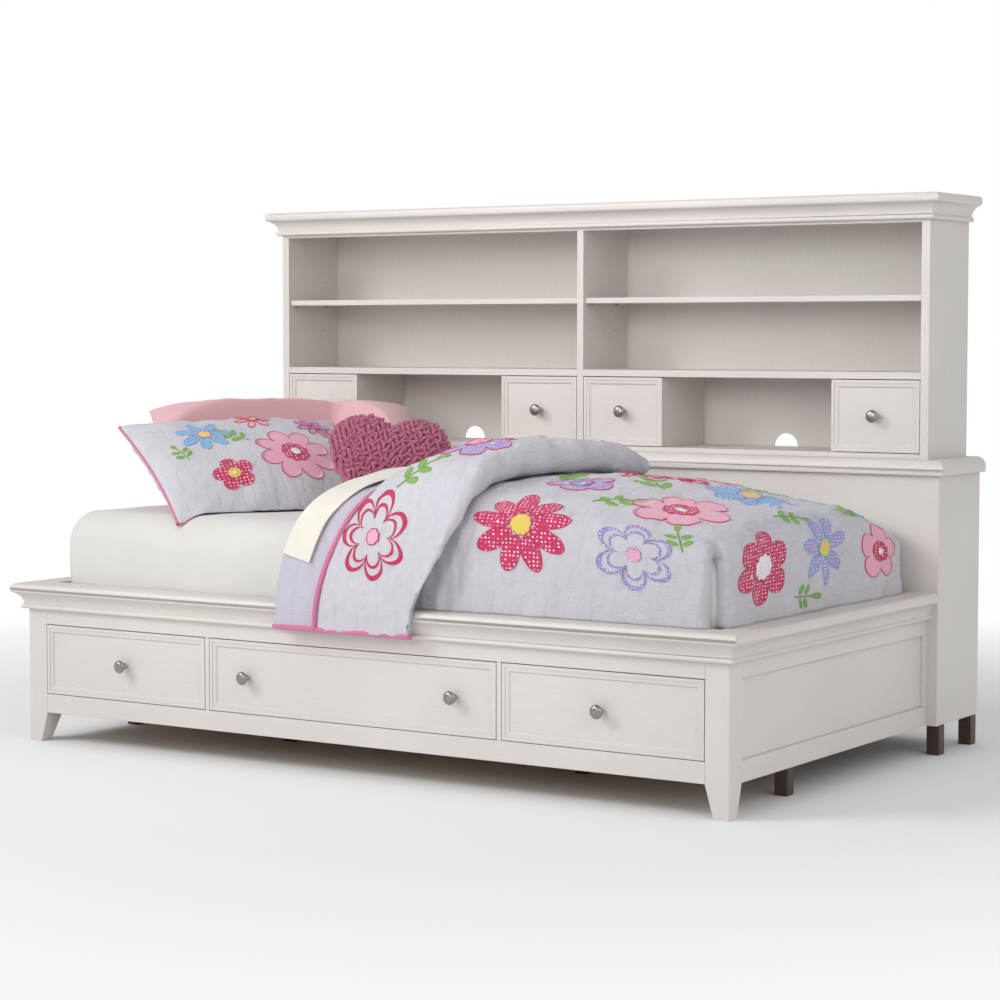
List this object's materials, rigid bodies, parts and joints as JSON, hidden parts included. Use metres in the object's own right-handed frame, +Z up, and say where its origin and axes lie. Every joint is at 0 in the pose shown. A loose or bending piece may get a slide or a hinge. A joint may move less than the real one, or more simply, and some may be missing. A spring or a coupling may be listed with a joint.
{
  "type": "bookcase headboard bed",
  "caption": "Lateral single bed with under-bed drawers, framed end panels and a full-length bookcase with small drawers along its back, dressed with mattress, quilt and pillows.",
  "frame": {"origin": "middle of the object's box, on the floor", "axes": "+X along the bed, to the right seen from its front; -Y towards the front with the bed's drawers; +Z up"},
  "size_m": [2.138, 1.3444, 1.402],
  "materials": {
    "painted_wood": "warm white satin paint",
    "plain_wood": "clear sealed softwood",
    "dark_wood": "dark brown stain",
    "knob_metal": "satin pewter",
    "steel": "zinc plated",
    "sheet_cloth": "plain woven cotton",
    "quilt_cloth": "crinkled quilting with appliqued flowers",
    "sham_cloth": "quilted cotton with appliqued flowers",
    "pillow_cloth": "plain woven cotton",
    "knit": "chunky ruffled knit"
  },
  "bodies": {
    "bed": {"front_leg_left": "painted_wood", "front_leg_right": "painted_wood", "front_frame": "painted_wood", "end_frames": "painted_wood", "end_panels": "painted_wood", "front_ledge_cap": "painted_wood", "front_ledge_cove": "painted_wood", "end_ledges": "painted_wood", "drawer_case": "plain_wood", "support_feet": "dark_wood", "slat_ledgers": "plain_wood", "bed_slats": "plain_wood", "base_sides": "painted_wood", "base_front_panel": "painted_wood", "base_top": "painted_wood", "base_moulding": "painted_wood", "corner_brackets": "steel", "frame_bolts": "steel", "hutch_side_left": "painted_wood", "hutch_side_right": "painted_wood", "hutch_divider": "painted_wood", "hutch_deck": "painted_wood", "fixed_shelves": "painted_wood", "loose_shelves": "painted_wood", "shelf_pins": "steel", "hutch_header": "painted_wood", "hutch_top": "painted_wood", "crown_moulding": "painted_wood", "back_panels": "painted_wood", "drawer_walls": "painted_wood", "drawer_runners": "plain_wood", "mattress": "sheet_cloth", "quilt": "quilt_cloth", "quilt_fold": "quilt_cloth", "top_sheet": "sheet_cloth", "pillow_sham": "sham_cloth", "pillow_pink": "pillow_cloth", "heart_cushion": "knit"},
    "left_drawer": {"left_drawer_front": "painted_wood", "left_drawer_knob": "knob_metal", "left_drawer_box": "plain_wood"},
    "centre_drawer": {"centre_drawer_front": "painted_wood", "centre_drawer_knob": "knob_metal", "centre_drawer_box": "plain_wood"},
    "right_drawer": {"right_drawer_front": "painted_wood", "right_drawer_knob": "knob_metal", "right_drawer_box": "plain_wood"},
    "small_drawer1": {"small_drawer1_front": "painted_wood", "small_drawer1_knob": "knob_metal", "small_drawer1_box": "plain_wood"},
    "small_drawer2": {"small_drawer2_front": "painted_wood", "small_drawer2_knob": "knob_metal", "small_drawer2_box": "plain_wood"},
    "small_drawer3": {"small_drawer3_front": "painted_wood", "small_drawer3_knob": "knob_metal", "small_drawer3_box": "plain_wood"},
    "small_drawer4": {"small_drawer4_front": "painted_wood", "small_drawer4_knob": "knob_metal", "small_drawer4_box": "plain_wood"}
  },
  "joints": [
    {"name": "left_drawer_slide", "type": "slide", "parent": "bed", "child": "left_drawer", "axis": [0, -1, 0], "range_m": [0, 0.3]},
    {"name": "centre_drawer_slide", "type": "slide", "parent": "bed", "child": "centre_drawer", "axis": [0, -1, 0], "range_m": [0, 0.3]},
    {"name": "right_drawer_slide", "type": "slide", "parent": "bed", "child": "right_drawer", "axis": [0, -1, 0], "range_m": [0, 0.3]},
    {"name": "small_drawer1_slide", "type": "slide", "parent": "bed", "child": "small_drawer1", "axis": [0, -1, 0], "range_m": [0, 0.14]},
    {"name": "small_drawer2_slide", "type": "slide", "parent": "bed", "child": "small_drawer2", "axis": [0, -1, 0], "range_m": [0, 0.14]},
    {"name": "small_drawer3_slide", "type": "slide", "parent": "bed", "child": "small_drawer3", "axis": [0, -1, 0], "range_m": [0, 0.14]},
    {"name": "small_drawer4_slide", "type": "slide", "parent": "bed", "child": "small_drawer4", "axis": [0, -1, 0], "range_m": [0, 0.14]}
  ]
}
